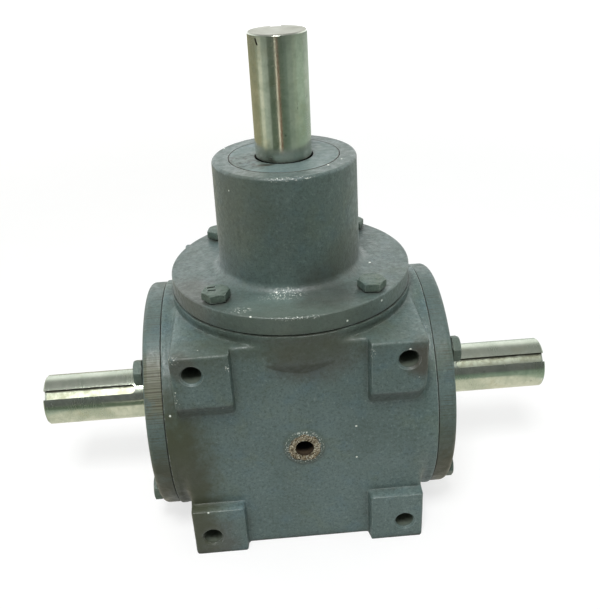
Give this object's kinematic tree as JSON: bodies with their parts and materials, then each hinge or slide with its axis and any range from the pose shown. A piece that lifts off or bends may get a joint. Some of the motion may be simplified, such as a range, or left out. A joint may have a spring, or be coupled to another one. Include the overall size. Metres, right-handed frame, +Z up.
{
  "type": "bevel gearbox",
  "caption": "Three-way right-angle bevel gearbox: cast case, vertical keyed input shaft in a flanged hub, and a keyed cross shaft coming out of round bolted side covers.",
  "frame": {"origin": "on the surface the case stands on, straight under the crossing of the two shaft axes", "axes": "+X along the cross shaft, towards the end whose side of the case holds the bevel gear; -Y is the front with the open port; +Z up along the input shaft"},
  "size_m": [0.2584, 0.1204, 0.2341],
  "materials": {
    "case_paint": "worn blue-grey enamel over sand-cast iron",
    "cover_paint": "worn blue-grey enamel over turned cast iron",
    "bolt_paint": "dark grey-green enamel over steel",
    "shaft_steel": "ground steel with light handling marks",
    "gear_steel": "cut and hardened steel, oiled",
    "plain_steel": "plain steel",
    "bearing_steel": "polished bearing steel",
    "cage_steel": "pressed steel cage and ground rollers",
    "seal_face": "metal-cased lip seal, overpainted",
    "gasket": "oily gasket paper"
  },
  "bodies": {
    "case_assembly": {"gear_case": "case_paint", "input_bearing_housing": "cover_paint", "left_side_cover": "cover_paint", "right_side_cover": "cover_paint", "input_oil_seal": "seal_face", "left_oil_seal": "seal_face", "right_oil_seal": "seal_face", "input_housing_gasket": "gasket", "left_cover_gasket": "gasket", "right_cover_gasket": "gasket", "rear_pipe_plug": "bolt_paint", "lower_input_bearing_cup": "bearing_steel", "upper_input_bearing_cup": "bearing_steel", "left_bearing_cup": "bearing_steel", "right_bearing_cup": "bearing_steel", "input_housing_bolt_1": "bolt_paint", "input_housing_bolt_2": "bolt_paint", "input_housing_bolt_3": "bolt_paint", "input_housing_bolt_4": "bolt_paint", "left_cover_bolt_1": "bolt_paint", "left_cover_bolt_2": "bolt_paint", "left_cover_bolt_3": "bolt_paint", "left_cover_bolt_4": "bolt_paint", "right_cover_bolt_1": "bolt_paint", "right_cover_bolt_2": "bolt_paint", "right_cover_bolt_3": "bolt_paint", "right_cover_bolt_4": "bolt_paint"},
    "cross_rotor": {"cross_shaft": "shaft_steel", "cross_shaft_gear": "gear_steel", "gear_key": "plain_steel", "left_bearing_cone": "bearing_steel", "right_bearing_cone": "bearing_steel"},
    "input_rotor": {"input_shaft": "shaft_steel", "input_pinion": "gear_steel", "pinion_key": "plain_steel", "pinion_retaining_ring": "plain_steel", "input_locknut": "plain_steel", "lower_input_bearing_cone": "bearing_steel", "upper_input_bearing_cone": "bearing_steel"},
    "lower_input_roller_set": {"lower_input_bearing_rollers": "cage_steel"},
    "upper_input_roller_set": {"upper_input_bearing_rollers": "cage_steel"},
    "left_roller_set": {"left_bearing_rollers": "cage_steel"},
    "right_roller_set": {"right_bearing_rollers": "cage_steel"}
  },
  "joints": [
    {"name": "cross_shaft_spin", "type": "hinge", "parent": "case_assembly", "child": "cross_rotor", "pos_m": [0, 0, 0.0575], "axis": [1, 0, 0], "continuous": true},
    {"name": "input_shaft_spin", "type": "hinge", "parent": "case_assembly", "child": "input_rotor", "pos_m": [0, 0, 0.0575], "axis": [0, 0, 1], "continuous": true},
    {"name": "lower_input_rollers_spin", "type": "hinge", "parent": "case_assembly", "child": "lower_input_roller_set", "pos_m": [0, 0, 0.0575], "axis": [0, 0, 1], "continuous": true},
    {"name": "upper_input_rollers_spin", "type": "hinge", "parent": "case_assembly", "child": "upper_input_roller_set", "pos_m": [0, 0, 0.0575], "axis": [0, 0, 1], "continuous": true},
    {"name": "left_rollers_spin", "type": "hinge", "parent": "case_assembly", "child": "left_roller_set", "pos_m": [0, 0, 0.0575], "axis": [1, 0, 0], "continuous": true},
    {"name": "right_rollers_spin", "type": "hinge", "parent": "case_assembly", "child": "right_roller_set", "pos_m": [0, 0, 0.0575], "axis": [1, 0, 0], "continuous": true}
  ],
  "couplings": [
    {"joint": "input_shaft_spin", "follows": "cross_shaft_spin", "ratio": -1},
    {"joint": "lower_input_rollers_spin", "follows": "cross_shaft_spin", "ratio": -0.43},
    {"joint": "upper_input_rollers_spin", "follows": "cross_shaft_spin", "ratio": -0.43},
    {"joint": "left_rollers_spin", "follows": "cross_shaft_spin", "ratio": 0.43},
    {"joint": "right_rollers_spin", "follows": "cross_shaft_spin", "ratio": 0.43}
  ]
}
